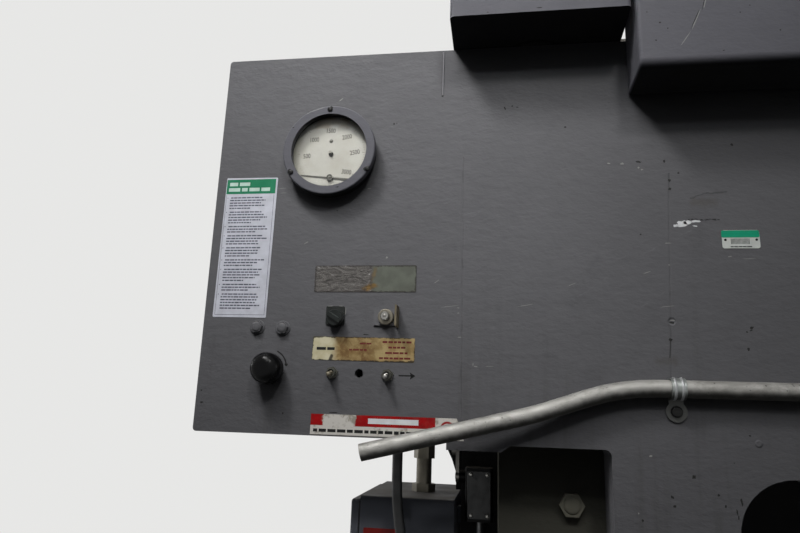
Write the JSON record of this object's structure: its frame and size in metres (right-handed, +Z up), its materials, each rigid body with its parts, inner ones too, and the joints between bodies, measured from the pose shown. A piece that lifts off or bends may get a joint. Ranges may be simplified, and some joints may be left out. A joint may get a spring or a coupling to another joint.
{
  "type": "hydraulic press brake",
  "caption": "Upright hydraulic press brake: C side frames, sliding ram with punch over a V die, overhead cylinders and oil unit, and a control panel with dial gauge on the ram.",
  "frame": {"origin": "on the floor at the centre of the four anchor holes", "axes": "+X along the bed to the right, +Y from the front to the back, +Z up"},
  "size_m": [2.7955, 1.125, 2.602],
  "materials": {
    "machine_paint": "semi-gloss mid grey enamel, soiled",
    "panel_paint": "semi-gloss mid grey enamel, handled",
    "dark_frame": "darker grey enamel",
    "tool_steel": "ground tool steel",
    "bare_steel": "bare machined steel",
    "chrome_rod": "hard chromed and polished",
    "galvanised": "worn zinc coated steel tube",
    "bright_metal": "nickel plated",
    "black_plastic": "glossy black moulding",
    "black_metal": "black enamel",
    "dial_face": "off-white enamel, stained",
    "clear_glass": "clear, a little dusty",
    "motor_paint": "blue-grey machine enamel",
    "tank_paint": "mid grey enamel",
    "black_rubber": "black hose rubber",
    "flex_steel": "wound metal conduit",
    "enclosure_paint": "dark grey enamel, scuffed",
    "gasket_rubber": "black sponge strip",
    "gear_plastic": "moulded control gear"
  },
  "bodies": {
    "machine": {"side_frame_left": "dark_frame", "side_frame_right": "dark_frame", "gib_plates": "dark_frame", "gib_bolts": "dark_frame", "bed": "machine_paint", "die_holder": "bare_steel", "lower_die": "tool_steel", "rear_crown": "dark_frame", "cylinder_housing_left": "machine_paint", "cylinder_housing_right": "machine_paint", "cylinders": "black_metal", "front_cover": "machine_paint", "crown_beam": "machine_paint", "oil_tank": "tank_paint", "motor": "motor_paint", "pump": "black_metal", "valve_manifold": "bare_steel", "solenoid_valves": "black_metal", "filler_breather": "black_metal", "push_pipes": "bare_steel", "pull_pipes": "bare_steel", "pump_pipe": "bare_steel", "enclosure": "enclosure_paint", "enclosure_gasket": "gasket_rubber", "control_gear": "gear_plastic", "hose_connector": "galvanised", "hose_a": "black_rubber", "hose_b": "black_rubber", "limit_switch": "black_metal", "switch_conduit": "flex_steel"},
    "ram": {"ram_plate": "machine_paint", "ram_guides": "bare_steel", "punch_holder": "machine_paint", "clamp_screws": "bare_steel", "punch": "tool_steel", "piston_rods": "chrome_rod", "control_panel": "panel_paint", "panel_back_box": "panel_paint", "panel_bolts": "panel_paint", "gauge_case": "black_metal", "gauge_ring": "panel_paint", "gauge_dial": "dial_face", "gauge_glass": "clear_glass", "gauge_pointer": "black_metal", "gauge_screws": "black_metal", "selector_base": "black_metal", "button_bracket": "black_metal", "button_collar": "bright_metal", "toggle_bushes": "bare_steel", "conduit": "galvanised", "conduit_straps": "machine_paint", "strap_screws": "bare_steel"},
    "speed_knob": {"speed_knob": "black_plastic"},
    "selector": {"selector_knob": "black_plastic"},
    "button": {"push_button": "bright_metal"},
    "toggle_left": {"toggle_lever_left": "bright_metal"},
    "toggle_right": {"toggle_lever_right": "bright_metal"},
    "door": {"enclosure_door": "enclosure_paint"},
    "switch_lever": {"limit_lever": "bare_steel"},
    "drive_line": {"drive_shaft": "bare_steel"}
  },
  "joints": [
    {"name": "ram_slide", "type": "slide", "parent": "machine", "child": "ram", "axis": [0, 0, 1], "range_m": [-0.2, 0], "deforming": ["hose_a", "hose_b"]},
    {"name": "speed_knob_turn", "type": "hinge", "parent": "ram", "child": "speed_knob", "pos_m": [-1.4585, -0.515, 1.5815], "axis": [0, 1, 0], "range_deg": [-150, 150]},
    {"name": "selector_turn", "type": "hinge", "parent": "ram", "child": "selector", "pos_m": [-1.372, -0.515, 1.6515], "axis": [0, 1, 0], "range_deg": [0, 60]},
    {"name": "button_press", "type": "slide", "parent": "ram", "child": "button", "axis": [0, 1, 0], "range_m": [0, 0.004], "stiffness_N_per_m": 400, "springref_m": -0.001},
    {"name": "toggle_left_tip", "type": "hinge", "parent": "ram", "child": "toggle_left", "pos_m": [-1.3738, -0.5195, 1.579], "axis": [-1, 0, 0], "range_deg": [0, 22]},
    {"name": "toggle_right_tip", "type": "hinge", "parent": "ram", "child": "toggle_right", "pos_m": [-1.2987, -0.5195, 1.5776], "axis": [-1, 0, 0], "range_deg": [0, 22]},
    {"name": "door_hinge", "type": "hinge", "parent": "machine", "child": "door", "pos_m": [-1.3595, -0.1585, 1.212], "axis": [0, 0, -1], "range_deg": [0, 110]},
    {"name": "switch_lever_hinge", "type": "hinge", "parent": "machine", "child": "switch_lever", "pos_m": [-1.2159, -0.344, 1.441], "axis": [1, 0, 0], "range_deg": [-30, 30], "stiffness_Nm_per_rad": 0.5},
    {"name": "drive_spin", "type": "hinge", "parent": "machine", "child": "drive_line", "pos_m": [0, -0.235, 2.504], "axis": [1, 0, 0], "continuous": true}
  ]
}
